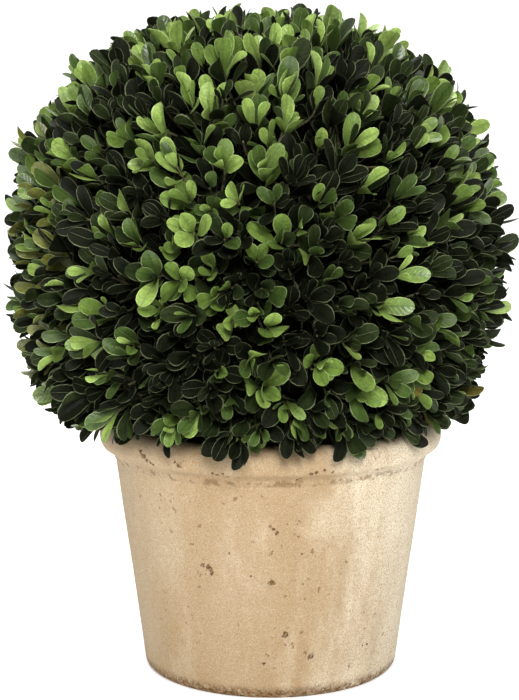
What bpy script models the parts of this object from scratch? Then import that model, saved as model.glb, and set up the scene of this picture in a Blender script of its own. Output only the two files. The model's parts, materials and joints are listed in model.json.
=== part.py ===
"""Clipped box ball growing in an aged terracotta pot.

Pieces: the turned pot, the plug of compost that fills it, the short leaning stem that stands in the compost,
and the clipped crown, which is one mass of leafy shoots standing out of a dense core.

Metres, +Z up. The origin is the middle of the pot's flat underside, and the front is -Y.
"""

import math
import random

import bmesh
import bpy
from mathutils import Matrix, Vector
from mathutils.bvhtree import BVHTree

# Pot
POT_HEIGHT = 0.135
WALL_RADIUS_AT_FOOT = 0.0678  # where the straight outer wall would meet the ground
WALL_RADIUS_AT_COLLAR = 0.0826
COLLAR_HEIGHT = 0.1155  # lower edge of the thick rim
COLLAR_STEP = 0.0008
LIP_RADIUS = 0.0910  # widest part of the rim
LIP_ROUNDING = 0.0085
HEEL_ROUNDING = 0.005
WALL_THICKNESS = 0.0075
FLOOR_THICKNESS = 0.010
POT_SEGMENTS = 48

# Compost
FILL_HEIGHT = 0.108
SEAT_GAP = 0.0003  # left between pieces that rest on or in each other
GAP_LIMIT = 0.0015  # least space between foliage and the pot

# Stem, from its flat cut on the compost to the fork in the middle of the crown
STEM_FLARE_RADIUS = 0.0140
STEM_RADIUS = 0.0090
FORK_RADIUS = 0.0062
FORK_HEIGHT = 0.200
STEM_SIDES = 10
STEM_RINGS = 7

# Crown, a ball clipped a little square in the shoulders, standing off centre on its leaning stem
CROWN_OFFSET = -0.007
CROWN_CENTRE_HEIGHT = 0.221
CROWN_RADIUS = 0.132
CROWN_SQUARENESS = 2.3  # 2 would be a true sphere
CORE_DEPTH = 0.028  # how far the dense core lies inside the clipped outline
CORE_DROP = 0.006  # how far its centre lies below the crown's, so that it closes the pot's mouth
CORE_FOOT_HEIGHT = 0.128
CORE_RINGS = 9
CORE_SEGMENTS = 22
LOWEST_TIP = 0.1245  # drooping leaf tips outside the rim end above this

# Shoots and leaves
SHOOT_COUNT = 100
LOWEST_SHOOT_SLOPE = 35.0  # degrees below the horizontal, from the crown's centre
RIM_SHOOT_COUNT = 20  # a ring of shoots that lean out over the pot's rim
RIM_SHOOT_HEIGHT = 0.1455
RIM_SHOOT_REACH = 0.0955  # how far their tips are from the pot's axis
RIM_SHOOT_FALL = -0.7  # how steeply they fall
RIM_SPILL = 0.005  # how far their leaves may hang outside the crown's outline
SHOOT_ROOT_SHARE = 0.45  # where a twig starts inside the core, as a share of the outline's radius
SHOOT_TIP_SHARE = 0.80
SHOOT_WANDER = 7.0  # degrees
TWIG_RADIUS = 0.0022
TWIG_TIP_RADIUS = 0.0017
ROOT_DEPTH = 0.0035
ROOT_OFFSET = 0.0002
LEAF_LENGTH = 0.031
LEAF_WIDTH = 0.0165
LEAF_THICKNESS = 0.0013
LEAF_VARIATION = 0.16
OUTLINE_ROUGHNESS = 0.0035  # how far leaf tips stray from the clipped outline
PAIRS = ((0.0, 27.0), (0.0085, 54.0))  # distance back from the shoot's tip, spread in degrees
ROLL_TRIES = 5
SEED = 8


def material(name, colour, roughness):
    """A plain Principled finish with no metal in it."""
    made = bpy.data.materials.new(name)
    made.use_nodes = True
    shader = made.node_tree.nodes["Principled BSDF"]
    shader.inputs["Base Color"].default_value = (*colour, 1.0)
    shader.inputs["Roughness"].default_value = roughness
    shader.inputs["Metallic"].default_value = 0.0
    return made


def object_from(name, shape, finish=None, collection=None):
    """Turns a bmesh into a linked object and frees the bmesh."""
    mesh = bpy.data.meshes.new(name)
    shape.to_mesh(mesh)
    shape.free()
    if finish:
        mesh.materials.append(finish)
    made = bpy.data.objects.new(name, mesh)
    (collection or bpy.context.scene.collection).objects.link(made)
    return made


def arc(centre, radius, start, end, steps):
    """Points (radius, height) along an arc, from one angle to another in degrees."""
    angles = [math.radians(start + (end - start) * i / steps) for i in range(steps + 1)]
    return [(centre[0] + radius * math.cos(a), centre[1] + radius * math.sin(a)) for a in angles]


def turned(profile, segments):
    """A closed body of revolution about Z; its profile of (radius, height) starts and ends on the axis."""
    shape = bmesh.new()
    rim = [shape.verts.new((radius, 0.0, height)) for radius, height in profile]
    line = rim + [shape.edges.new(pair) for pair in zip(rim[:-1], rim[1:])]
    bmesh.ops.spin(shape, geom=line, axis=(0, 0, 1), angle=math.tau, steps=segments, use_merge=True)
    bmesh.ops.remove_doubles(shape, verts=shape.verts, dist=1e-6)
    bmesh.ops.recalc_face_normals(shape, faces=shape.faces)
    return shape


def smooth(made, angle=40.0):
    made.data.shade_smooth()
    made.data.set_sharp_from_angle(angle=math.radians(angle))


def wall_radius(height):
    """Radius of the pot's straight outer wall at a height."""
    rise = (WALL_RADIUS_AT_COLLAR - WALL_RADIUS_AT_FOOT) / COLLAR_HEIGHT
    return WALL_RADIUS_AT_FOOT + rise * height


def bore_radius(height):
    """Radius of the pot's inside at a height."""
    return wall_radius(height) - WALL_THICKNESS


def pot_profile():
    """From the middle of the underside, up the outside, over the rolled rim and down to the floor."""
    lean = math.degrees(math.atan2(WALL_RADIUS_AT_COLLAR - WALL_RADIUS_AT_FOOT, COLLAR_HEIGHT))
    heel_centre = (WALL_RADIUS_AT_FOOT - HEEL_ROUNDING, HEEL_ROUNDING)
    lip_centre = (LIP_RADIUS - LIP_ROUNDING, POT_HEIGHT - LIP_ROUNDING)
    collar = WALL_RADIUS_AT_COLLAR + COLLAR_STEP
    flare = [(collar, COLLAR_HEIGHT), (collar + 0.0016, COLLAR_HEIGHT + 0.0032)]
    mouth = COLLAR_HEIGHT + 0.004
    return (
        [(0.0, 0.0)]
        + arc(heel_centre, HEEL_ROUNDING, -90, -lean, 4)
        + [(wall_radius(h * COLLAR_HEIGHT), h * COLLAR_HEIGHT) for h in (0.36, 0.68, 1.0)]
        + flare
        + arc(lip_centre, LIP_ROUNDING, -35, 150, 8)
        + [(bore_radius(mouth), mouth), (bore_radius(FLOOR_THICKNESS), FLOOR_THICKNESS)]
        + [(0.0, FLOOR_THICKNESS)]
    )


def make_pot(finish):
    pot = object_from("pot", turned(pot_profile(), POT_SEGMENTS), finish)
    smooth(pot)


def make_fill(finish):
    """The compost fills the bore from the floor to a little below the collar."""
    foot = FLOOR_THICKNESS + SEAT_GAP
    crown_of_fill = FILL_HEIGHT - 0.002
    profile = [
        (0.0, foot),
        (bore_radius(foot) - 2 * SEAT_GAP, foot),
        (bore_radius(crown_of_fill) - 2 * SEAT_GAP, crown_of_fill),
        (bore_radius(crown_of_fill) - 0.006, FILL_HEIGHT),
        (0.0, FILL_HEIGHT),
    ]
    fill = object_from("potting_fill", turned(profile, POT_SEGMENTS), finish)
    smooth(fill)


def stem_shape(extra=0.0):
    """The stem as rings along its leaning line; extra makes it bigger, for the hollow that clears it."""
    foot = FILL_HEIGHT + SEAT_GAP
    shape = bmesh.new()
    rings = []
    for i in range(STEM_RINGS):
        t = i / (STEM_RINGS - 1)
        flare = (STEM_FLARE_RADIUS - STEM_RADIUS) * (1.0 - t) ** 6
        radius = STEM_RADIUS + (FORK_RADIUS - STEM_RADIUS) * t + flare + extra
        height = foot - extra + (FORK_HEIGHT - foot + 2 * extra) * t
        lean = CROWN_OFFSET * t * t * (3 - 2 * t)
        ring = []
        for k in range(STEM_SIDES):
            angle = math.tau * k / STEM_SIDES
            ring.append(shape.verts.new((lean + radius * math.cos(angle), radius * math.sin(angle), height)))
        rings.append(ring)
    for low, high in zip(rings[:-1], rings[1:]):
        for k in range(STEM_SIDES):
            following = (k + 1) % STEM_SIDES
            shape.faces.new((low[k], low[following], high[following], high[k]))
    shape.faces.new(list(reversed(rings[0])))
    shape.faces.new(rings[-1])
    return shape


def make_stem(finish):
    stem = object_from("stem", stem_shape(), finish)
    smooth(stem)


def crown_centre():
    return Vector((CROWN_OFFSET, 0.0, CROWN_CENTRE_HEIGHT))


def outline_radius(direction):
    """Distance from the crown's centre to its clipped outline along a unit direction."""
    level = math.hypot(direction.x, direction.y)
    bulk = level**CROWN_SQUARENESS + abs(direction.z) ** CROWN_SQUARENESS
    return CROWN_RADIUS * bulk ** (-1.0 / CROWN_SQUARENESS)


def outline_normal(direction):
    """Outward normal of the clipped outline where the direction meets it."""
    power = CROWN_SQUARENESS - 2.0
    level = max(math.hypot(direction.x, direction.y), 1e-6) ** power
    rise = abs(direction.z) ** power
    return Vector((direction.x * level, direction.y * level, direction.z * rise)).normalized()


def core_shape():
    """The dense inside of the crown: the outline made smaller, with a flat foot over the compost."""
    centre = CROWN_CENTRE_HEIGHT - CORE_DROP
    half = CROWN_RADIUS - CORE_DEPTH
    power = 2.0 / CROWN_SQUARENESS
    foot_level = (centre - CORE_FOOT_HEIGHT) / half
    foot_radius = half * (1.0 - foot_level**CROWN_SQUARENESS) ** (1.0 / CROWN_SQUARENESS)
    lowest = -math.asin(foot_level ** (1.0 / power))
    profile = [(0.0, CORE_FOOT_HEIGHT), (foot_radius, CORE_FOOT_HEIGHT)]
    for i in range(1, CORE_RINGS):
        slope = lowest + (math.pi / 2 - lowest) * i / CORE_RINGS
        height = math.copysign(abs(math.sin(slope)) ** power, slope)
        profile.append((half * math.cos(slope) ** power, centre + half * height))
    profile.append((0.0, centre + half))
    shape = turned(profile, CORE_SEGMENTS)
    bmesh.ops.translate(shape, verts=shape.verts, vec=(CROWN_OFFSET, 0.0, 0.0))
    return shape


def shoot_directions():
    """Even directions all round the crown, from its top down to the lowest shoots over the rim."""
    lowest = -math.sin(math.radians(LOWEST_SHOOT_SLOPE))
    golden = math.pi * (3.0 - math.sqrt(5.0))
    for i in range(SHOOT_COUNT):
        z = 1.0 - (1.0 - lowest) * (i + 0.5) / SHOOT_COUNT
        level = math.sqrt(1.0 - z * z)
        yield Vector((level * math.cos(golden * i), level * math.sin(golden * i), z))


def square_to(axis):
    """Two unit vectors at right angles to an axis and to each other; the first is level."""
    side = axis.cross(Vector((0.0, 0.0, 1.0)))
    side = side.normalized() if side.length > 0.05 else Vector((1.0, 0.0, 0.0))
    return side, axis.cross(side)


def twig_shape(root, tip):
    """A three-sided tapering twig."""
    run = tip - root
    place = Matrix.Translation((root + tip) / 2) @ run.to_track_quat("Z", "Y").to_matrix().to_4x4()
    shape = bmesh.new()
    bmesh.ops.create_cone(
        shape,
        cap_ends=True,
        segments=3,
        radius1=TWIG_RADIUS,
        radius2=TWIG_TIP_RADIUS,
        depth=run.length,
        matrix=place,
    )
    return shape


def leaf_points(root, along, upper, length):
    """The blunt, egg-shaped outline of one leaf from its root, then the middles of its two faces."""
    width = LEAF_WIDTH * length / LEAF_LENGTH
    across = along.cross(upper)
    outline = [
        root,
        root + along * 0.58 * length + across * 0.5 * width + upper * 0.05 * length,
        root + along * 0.97 * length + across * 0.22 * width - upper * 0.02 * length,
        root + along * 0.97 * length - across * 0.22 * width - upper * 0.02 * length,
        root + along * 0.58 * length - across * 0.5 * width + upper * 0.05 * length,
    ]
    middle = root + along * 0.5 * length
    return outline, middle + upper * LEAF_THICKNESS / 2, middle - upper * LEAF_THICKNESS / 2


def leaf_shape(points, faces):
    """A closed leaf, thickest in the middle and sharp at its edge."""
    shape = bmesh.new()
    corners = [shape.verts.new(p) for p in points]
    for face in faces:
        shape.faces.new([corners[i] for i in face])
    bmesh.ops.recalc_face_normals(shape, faces=shape.faces)
    return shape


def clear_of_pot(points):
    """Whether straight edges between these points, in order, keep off the rim and above the lowest tips."""
    for a, b in zip(points, points[1:] + points[:1]):
        for step in range(6):
            p = a.lerp(b, step / 6)
            if p.z < LOWEST_TIP:
                return False
            if p.z < POT_HEIGHT + GAP_LIMIT and math.hypot(p.x, p.y) < LIP_RADIUS + GAP_LIMIT:
                return False
    return True


def fitted_length(root, along, wanted, reach):
    """The longest leaf near the wanted length that ends within reach of the outline, or none."""
    centre = crown_centre()
    length = wanted * 1.15
    while length > wanted * 0.7:
        tip = root + along * length
        arm = tip - centre
        if tip.z > LOWEST_TIP + 0.001 and arm.length <= outline_radius(arm.normalized()) + reach:
            return length
        length -= wanted * 0.05
    return 0.0


def faces_of(outline, above, below):
    """The leaf's corner points and its ten triangles, each given by three corner numbers."""
    count = len(outline)
    points = [*outline, above, below]
    ring = [(i, (i + 1) % count) for i in range(count)]
    return points, [(a, b, count) for a, b in ring] + [(b, a, count + 1) for a, b in ring]


def leaves_of(tip, axis, roll, spill, chance, grown):
    """The leaves of one shoot, in opposite pairs that turn a right angle from one pair to the next."""
    side, other = square_to(axis)
    found = []
    for number, (back, spread) in enumerate(PAIRS):
        for half in range(2):
            turn = roll + math.radians(90 * number + 180 * half) + chance.uniform(-0.25, 0.25)
            out = side * math.cos(turn) + other * math.sin(turn)
            angle = math.radians(spread + chance.uniform(-9, 9))
            along = axis * math.cos(angle) + out * math.sin(angle)
            upper = axis * math.sin(angle) - out * math.cos(angle)
            root = tip - axis * (back + ROOT_DEPTH) + out * ROOT_OFFSET
            wanted = LEAF_LENGTH * (1 + chance.uniform(-LEAF_VARIATION, LEAF_VARIATION))
            length = fitted_length(root, along, wanted, spill + chance.uniform(-0.9, 1.0) * OUTLINE_ROUGHNESS)
            if not length:
                continue
            points, faces = faces_of(*leaf_points(root, along, upper, length))
            if not clear_of_pot(points[:-2]):
                continue
            if grown and BVHTree.FromPolygons(points, faces).overlap(grown):
                continue
            found.append((points, faces))
    return found


def rim_shoots(chance):
    """The root, tip, heading, rolls and spill of each shoot that hangs leaves over the pot's rim."""
    for i in range(RIM_SHOOT_COUNT):
        angle = math.tau * (i + chance.uniform(-0.2, 0.2)) / RIM_SHOOT_COUNT
        out = Vector((math.cos(angle), math.sin(angle), 0.0))
        tip = out * RIM_SHOOT_REACH + Vector((0, 0, RIM_SHOOT_HEIGHT + chance.uniform(0.0, 0.006)))
        root = crown_centre().lerp(tip, SHOOT_ROOT_SHARE)
        axis = (out + Vector((0, 0, RIM_SHOOT_FALL))).normalized()
        yield root, tip, axis, [math.radians(90 + turn) for turn in (0, 14, -14, 28, -28)], RIM_SPILL


def crown_shoots(chance):
    """The root, tip, heading, rolls and spill of each shoot, which heads out from the crown's centre."""
    centre = crown_centre()
    for direction in shoot_directions():
        wander = [math.radians(SHOOT_WANDER) * chance.uniform(-0.5, 0.5) for _ in range(3)]
        radial = (direction + Vector(wander)).normalized()
        radius = outline_radius(radial)
        root = centre + radial * radius * SHOOT_ROOT_SHARE
        tip = centre + radial * radius * SHOOT_TIP_SHARE
        axis = (radial + outline_normal(radial) + Vector((0, 0, 0.15))).normalized()
        first_roll = chance.uniform(0, math.tau)
        yield root, tip, axis, [first_roll + math.pi * n / ROLL_TRIES for n in range(ROLL_TRIES)], 0.0


def crown_pieces():
    """Twigs and leaves by the growth rule; each shoot takes the roll that keeps the most leaves clear."""
    chance = random.Random(SEED)
    all_points, all_faces, grown = [], [], None
    for root, tip, axis, rolls, spill in [*rim_shoots(chance), *crown_shoots(chance)]:
        leaves = max([leaves_of(tip, axis, roll, spill, chance, grown) for roll in rolls], key=len)
        if leaves:
            yield twig_shape(root, tip)
        for points, faces in leaves:
            yield leaf_shape(points, faces)
            all_faces += [[i + len(all_points) for i in face] for face in faces]
            all_points += points
        if all_points:
            grown = BVHTree.FromPolygons(all_points, all_faces)


def keep_largest_shell(made):
    """Drops loose scraps, and the inner shells that would be sealed hollows, so one closed body is left."""
    shape = bmesh.new()
    shape.from_mesh(made.data)
    bmesh.ops.triangulate(shape, faces=shape.faces)
    waiting = set(shape.verts)
    shells = []
    while waiting:
        shell, edge = set(), [waiting.pop()]
        while edge:
            vert = edge.pop()
            shell.add(vert)
            reached = {e.other_vert(vert) for e in vert.link_edges} & waiting
            waiting -= reached
            edge.extend(reached)
        shells.append(shell)
    largest = max(shells, key=len)
    bmesh.ops.delete(shape, geom=[v for v in shape.verts if v not in largest], context="VERTS")
    shape.to_mesh(made.data)
    shape.free()


def applied(made):
    """Replaces an object's mesh with what its modifiers make of it."""
    bpy.context.view_layer.update()
    graph = bpy.context.evaluated_depsgraph_get()
    mesh = bpy.data.meshes.new_from_object(made.evaluated_get(graph))
    made.modifiers.clear()
    made.data = mesh


def make_crown(finish):
    """The core is cut clear of the stem, then joined with every twig and leaf into one closed body."""
    crown = object_from("crown", core_shape(), finish)
    hollow = object_from("stem_hollow", stem_shape(extra=SEAT_GAP), finish)
    hollow.hide_render = True
    cut = crown.modifiers.new("clear_of_stem", "BOOLEAN")
    cut.operation = "DIFFERENCE"
    cut.solver = "EXACT"
    cut.object = hollow
    applied(crown)
    growth = bpy.data.collections.new("crown_growth")
    bpy.context.scene.collection.children.link(growth)
    for number, shape in enumerate(crown_pieces()):
        object_from(f"growth_{number}", shape, finish, growth)
    join = crown.modifiers.new("joined_growth", "BOOLEAN")
    join.operation = "UNION"
    join.operand_type = "COLLECTION"
    join.collection = growth
    join.solver = "MANIFOLD"
    applied(crown)
    for piece in [*growth.objects, hollow]:
        bpy.data.objects.remove(piece)
    bpy.data.collections.remove(growth)
    keep_largest_shell(crown)


def main():
    for old in list(bpy.data.objects):
        bpy.data.objects.remove(old)
    make_pot(material("aged terracotta", (0.62, 0.47, 0.31), 0.85))
    make_fill(material("compost", (0.045, 0.032, 0.022), 0.95))
    make_stem(material("bark", (0.16, 0.115, 0.075), 0.85))
    make_crown(material("box leaves", (0.028, 0.060, 0.016), 0.5))


main()
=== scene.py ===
"""Box ball in an aged terracotta pot: pot, compost, bark, boughs, twigs and leaves, and a plain studio.

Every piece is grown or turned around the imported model, in metres, +Z up, with the front at -Y. Each has an
operator of its own in the sidebar's Box Ball panel.
"""

import itertools
import json
import math
import random

import bmesh
import bpy
import numpy as np
from bpy.props import FloatProperty, FloatVectorProperty, IntProperty, PointerProperty
from mathutils import Matrix, Quaternion, Vector, noise

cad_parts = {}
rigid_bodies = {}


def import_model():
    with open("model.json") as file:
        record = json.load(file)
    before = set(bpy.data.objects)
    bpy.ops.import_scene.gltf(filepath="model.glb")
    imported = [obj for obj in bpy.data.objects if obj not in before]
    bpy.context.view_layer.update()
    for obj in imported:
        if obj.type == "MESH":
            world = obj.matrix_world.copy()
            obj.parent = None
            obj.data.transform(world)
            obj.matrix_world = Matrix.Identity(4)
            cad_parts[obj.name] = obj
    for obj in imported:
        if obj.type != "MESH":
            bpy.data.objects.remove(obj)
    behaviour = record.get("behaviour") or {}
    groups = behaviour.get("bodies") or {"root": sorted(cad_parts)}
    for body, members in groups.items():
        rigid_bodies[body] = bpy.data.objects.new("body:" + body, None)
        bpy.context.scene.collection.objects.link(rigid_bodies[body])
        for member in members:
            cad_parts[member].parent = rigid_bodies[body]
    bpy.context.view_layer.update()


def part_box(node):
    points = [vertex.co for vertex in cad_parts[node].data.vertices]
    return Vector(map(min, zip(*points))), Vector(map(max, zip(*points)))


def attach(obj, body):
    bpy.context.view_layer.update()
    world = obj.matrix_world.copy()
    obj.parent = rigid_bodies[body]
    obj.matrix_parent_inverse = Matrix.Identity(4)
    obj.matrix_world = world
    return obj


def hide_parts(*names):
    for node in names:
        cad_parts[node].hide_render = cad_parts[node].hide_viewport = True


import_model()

bl_info = {
    "name": "Box Ball",
    "version": (1, 0, 0),
    "blender": (4, 5, 0),
    "location": "View3D > Sidebar > Box Ball",
    "description": "Grows a clipped box ball in an aged terracotta pot",
    "category": "Add Mesh",
}

BODY = "root"
POT_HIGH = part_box("pot")[1]
FILL_LOW, FILL_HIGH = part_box("potting_fill")
STEM_LOW, STEM_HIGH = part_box("stem")
UP = Vector((0.0, 0.0, 1.0))


# ---------------------------------------------------------------- sizes and colours


def size(name, description, default):
    """A length in metres."""
    return FloatProperty(
        name=name, description=description, default=default, min=0.0, unit="LENGTH", precision=4
    )


def position(name, description, default):
    """A position along an axis in metres, on either side of zero."""
    return FloatProperty(name=name, description=description, default=default, unit="LENGTH", precision=4)


def number(name, description, default):
    return FloatProperty(name=name, description=description, default=default)


def count(name, description, default):
    return IntProperty(name=name, description=description, default=default, min=0)


def turn(name, description, degrees):
    return FloatProperty(name=name, description=description, default=math.radians(degrees), subtype="ANGLE")


def colour(name, description, default):
    return FloatVectorProperty(
        name=name, description=description, default=default, size=3, min=0.0, max=1.0, subtype="COLOR"
    )


class BoxBallPotSettings(bpy.types.PropertyGroup):
    height: size("Height", "Height of the pot", POT_HIGH.z)
    foot_radius: size("Foot radius", "Radius where the straight wall would meet the ground", 0.0678)
    collar_radius: size("Collar radius", "Radius of the wall where the rim's band begins", 0.0826)
    collar_height: size("Collar height", "Height of the rim band's lower edge", 0.1155)
    collar_step: size("Collar step", "How far the rim band stands out of the wall", 0.0008)
    lip_radius: size("Lip radius", "Greatest radius of the rolled rim", 0.0910)
    lip_rounding: size("Lip rounding", "Radius of the rim's roll", 0.0085)
    heel_rounding: size("Heel rounding", "Radius of the pot's bottom edge", 0.005)
    wall: size("Wall", "Thickness of the wall", 0.0075)
    floor: size("Floor", "Thickness of the floor", 0.010)
    unevenness: size("Unevenness", "How far the hand-finished wall strays from true", 0.0005)
    grain: size("Grain", "Height of the clay's fine grain", 0.00012)
    limewash: colour("Limewash", "Pale chalky wash", (0.392, 0.306, 0.206))
    clay: colour("Clay", "Warm tan where the wash has worn thin", (0.318, 0.220, 0.117))
    # Chalk: thick pale wash in patches, and also painted sheen, since the right side is mixed towards it to
    # stand for the light falling there
    chalk_and_sheen: colour("Chalk", "Thick wash on the right side and in patches", (0.67, 0.60, 0.465))
    grime: colour("Grime", "Brown of the pits and chipped edges", (0.185, 0.080, 0.018))


class BoxBallPlantSettings(bpy.types.PropertyGroup):
    offset: position("Offset", "Crown's centre along X", -0.0078)
    centre_height: size("Centre height", "Height of the crown's centre", 0.221)
    radius: size("Radius", "Radius of the clipped outline", 0.132)
    squareness: number("Squareness", "2 is a true ball; more is squarer in the shoulders", 2.42)
    fork_height: size("Fork height", "Height of the stem's head", STEM_HIGH.z)
    bough_count: count("Boughs", "Main boughs from the fork", 17)
    branch_count: count("Branches", "Branches from the boughs", 120)
    shoot_count: count("Shoots", "Leafy shoots over the crown", 740)
    rim_shoot_count: count("Rim shoots", "Shoots in a full ring that leans out over the pot's rim", 34)
    inner_shoot_count: count("Inner shoots", "Older shoots deep inside the crown", 470)
    lowest_slope: turn("Lowest slope", "How far below the level the crown's shoots go", 40.0)
    leaf_length: size("Leaf length", "Length of a full-grown leaf", 0.0220)
    leaf_width: size("Leaf width", "Width of a full-grown leaf", 0.0095)
    roughness: size("Roughness", "How far leaf tips stray from the clipped outline", 0.0068)
    lowest_tip: size("Lowest tip", "Leaf tips end above this height", 0.120)
    pot_gap: size("Pot gap", "Least space between a leaf and the pot", 0.0008)
    seed: count("Seed", "Seed of everything that varies", 8)
    # Greens of the leaves from deep to bright: partly the leaves' age and partly painted light, since
    # shade_of deals them by how well lit each leaf would stand; deep green is near-black painted shade for
    # the inner and skirt shoots
    deep: colour("Deep green", "Leaves of the inner shoots", (0.0042, 0.0050, 0.0024))
    dull: colour("Dull green", "Old, shaded leaves", (0.0072, 0.0089, 0.0041))
    dark: colour("Dark green", "Full-grown leaves", (0.0178, 0.0268, 0.0082))
    middle: colour("Middle green", "Leaves in good light", (0.0520, 0.0890, 0.0180))
    fresh: colour("Fresh green", "Young leaves", (0.1280, 0.2020, 0.0380))
    bright: colour("Bright green", "The youngest leaves, at some tips", (0.2350, 0.3400, 0.0760))
    olive: colour("Olive", "Yellowing leaves at the sides", (0.1080, 0.1180, 0.0220))
    russet: colour("Russet", "A few yellowing leaves low on the right", (0.1500, 0.1250, 0.0260))
    # Leaf margin: the leaf's own pale edge and midrib, whose edge also carries a painted highlight
    margin: colour("Leaf margin", "Pale edge and midrib of a leaf", (0.2700, 0.3100, 0.1600))
    bark: colour("Bark", "Grey-brown bark", (0.1700, 0.1250, 0.0800))
    twig: colour("Twig", "Green-brown young twigs", (0.1000, 0.0920, 0.0400))
    compost: colour("Compost", "Dark bark compost", (0.0450, 0.0320, 0.0220))


class BoxBallStageSettings(bpy.types.PropertyGroup):
    camera_side: position("Camera side", "Camera along X", -0.0059)
    camera_distance: size("Camera distance", "Camera in front of the pot's axis", 1.0)
    camera_height: size("Camera height", "Camera above the ground", 0.325)
    camera_fall: turn("Camera fall", "How far the camera looks down", 8.8)
    lens: number("Lens", "Focal length in millimetres on a 36 mm tall sensor", 97.97)
    ground: colour("Ground", "Pale studio floor", (0.90, 0.90, 0.89))


# ---------------------------------------------------------------- nodes and meshes


class Value:
    """A number that nodes work out. Arithmetic on it adds the nodes that do it."""

    def __init__(self, socket):
        self.socket = socket
        self.tree = socket.id_data

    def step(self, operation, other=0.0):
        """One step of arithmetic with another number."""
        return Value(node(self.tree, "ShaderNodeMath", "Value", {0: self, 1: other}, operation=operation))

    def __add__(self, other):
        return self.step("ADD", other)

    def __sub__(self, other):
        return self.step("SUBTRACT", other)

    def __mul__(self, other):
        return self.step("MULTIPLY", other)

    def __truediv__(self, other):
        return self.step("DIVIDE", other)

    def __abs__(self):
        return self.step("ABSOLUTE")

    __radd__ = __add__

    def __gt__(self, other):
        return node(self.tree, "FunctionNodeCompare", "Result", {0: self, 1: other}, operation="GREATER_THAN")

    def ramp(self, low, high, to_low=0.0, to_high=1.0):
        """Maps the value smoothly from one range to another, held at its ends."""
        inputs = {"Value": self, "From Min": low, "From Max": high, "To Min": to_low, "To Max": to_high}
        return Value(node(self.tree, "ShaderNodeMapRange", "Result", inputs, interpolation_type="SMOOTHSTEP"))


def feed(socket, value):
    """Gives an input a constant, or links it to a socket, a Value or a list of sockets."""
    if isinstance(value, list):
        for part in value:
            feed(socket, part)
    elif isinstance(value, Value):
        feed(socket, value.socket)
    elif isinstance(value, bpy.types.NodeSocket):
        socket.id_data.links.new(value, socket)
    else:
        socket.default_value = (*value, 1.0) if socket.type == "RGBA" else value


def node(tree, kind, output, inputs=None, **settings):
    """Adds a node with these settings and fed inputs, and gives one of its outputs."""
    made = tree.nodes.new(kind)
    for key, value in settings.items():
        setattr(made, key, value)
    for key, value in (inputs or {}).items():
        feed(made.inputs[key], value)
    return made.outputs[output]


def extreme(kind, first, *others):
    """The greatest or the least of some values: kind is MAXIMUM or MINIMUM."""
    for other in others:
        first = first.step(kind, other)
    return first


def axis_of(place, letter):
    """One coordinate of a place or a direction."""
    return Value(node(place.id_data, "ShaderNodeSeparateXYZ", letter, {"Vector": place}))


def distance(place, point):
    """How far a place is from a fixed point."""
    inputs = {0: place, 1: point}
    return Value(node(place.id_data, "ShaderNodeVectorMath", "Value", inputs, operation="DISTANCE"))


def attribute(tree, name, kind):
    """A value that a geometry's points or faces carry."""
    return node(tree, "GeometryNodeInputNamedAttribute", "Attribute", {"Name": name}, data_type=kind)


def noise_of(place, scale, detail, roughness=0.55, rise=1.0):
    """A noise value at a scale per metre; a rise under 1 draws it out along Z."""
    tree = place.id_data
    if rise != 1.0:
        place = node(tree, "ShaderNodeMapping", "Vector", {"Vector": place, "Scale": (1.0, 1.0, rise)})
    inputs = {"Vector": place, "Scale": scale, "Detail": detail, "Roughness": roughness}
    return Value(node(tree, "ShaderNodeTexNoise", "Fac", inputs))


def mixed(share, first, second):
    """A colour between two; each is a colour or a socket."""
    share_at, first_at, second_at, result_at = 0, 6, 7, 2
    inputs = {share_at: share, first_at: first, second_at: second}
    return node(share.tree, "ShaderNodeMix", result_at, inputs, data_type="RGBA")


def new_finish(name, base, roughness, specular):
    """A Principled finish, its shader and the Object coordinates that its patterns read."""
    finish = bpy.data.materials.new(name)
    finish.use_nodes = True
    shader = finish.node_tree.nodes["Principled BSDF"]
    for label, value in (("Base Color", base), ("Roughness", roughness), ("Specular IOR Level", specular)):
        feed(shader.inputs[label], value)
    return finish, shader, node(finish.node_tree, "ShaderNodeTexCoord", "Object")


def bumped(shader, height, depth, strength=1.0):
    """Feeds a height to the shader's normal, as relief of a depth in metres."""
    inputs = {"Height": height, "Distance": depth, "Strength": strength}
    feed(shader.inputs["Normal"], node(shader.id_data, "ShaderNodeBump", "Normal", inputs))


def tinted(tone, share):
    """A colour at a share of its strength."""
    return tuple(min(1.0, share * c) for c in tone)


def mesh_object(name, mesh, finish=None):
    """A new object of the scene with this mesh."""
    if finish:
        mesh.materials.append(finish)
    made = bpy.data.objects.new(name, mesh)
    bpy.context.scene.collection.objects.link(made)
    return made


def from_shape(name, shape, finish=None):
    """Turns a bmesh into a linked object and frees the bmesh."""
    mesh = bpy.data.meshes.new(name)
    shape.to_mesh(mesh)
    shape.free()
    return mesh_object(name, mesh, finish)


def baked(made):
    """Replaces an object's mesh with what its modifiers make of it, and removes them."""
    bpy.context.view_layer.update()
    graph = bpy.context.evaluated_depsgraph_get()
    mesh = bpy.data.meshes.new_from_object(made.evaluated_get(graph))
    mesh.name = made.name
    made.modifiers.clear()
    made.data = mesh
    return made


def new_tree(name, sockets):
    """A geometry tree with named inputs of these kinds; gives the tree, its inputs and its output."""
    tree = bpy.data.node_groups.new(name, "GeometryNodeTree")
    for label, kind in (("Geometry", "Geometry"), *sockets.items()):
        tree.interface.new_socket(label, in_out="INPUT", socket_type=f"NodeSocket{kind}")
    tree.interface.new_socket("Geometry", in_out="OUTPUT", socket_type="NodeSocketGeometry")
    start, end = tree.nodes.new("NodeGroupInput"), tree.nodes.new("NodeGroupOutput")
    return tree, start.outputs, end.inputs["Geometry"]


def made_real(tree, geometry, finish):
    """Realizes a tree's instances and sets their material."""
    real = node(tree, "GeometryNodeRealizeInstances", "Geometry", {"Geometry": geometry})
    return node(tree, "GeometryNodeSetMaterial", "Geometry", {"Geometry": real, "Material": finish})


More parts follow.
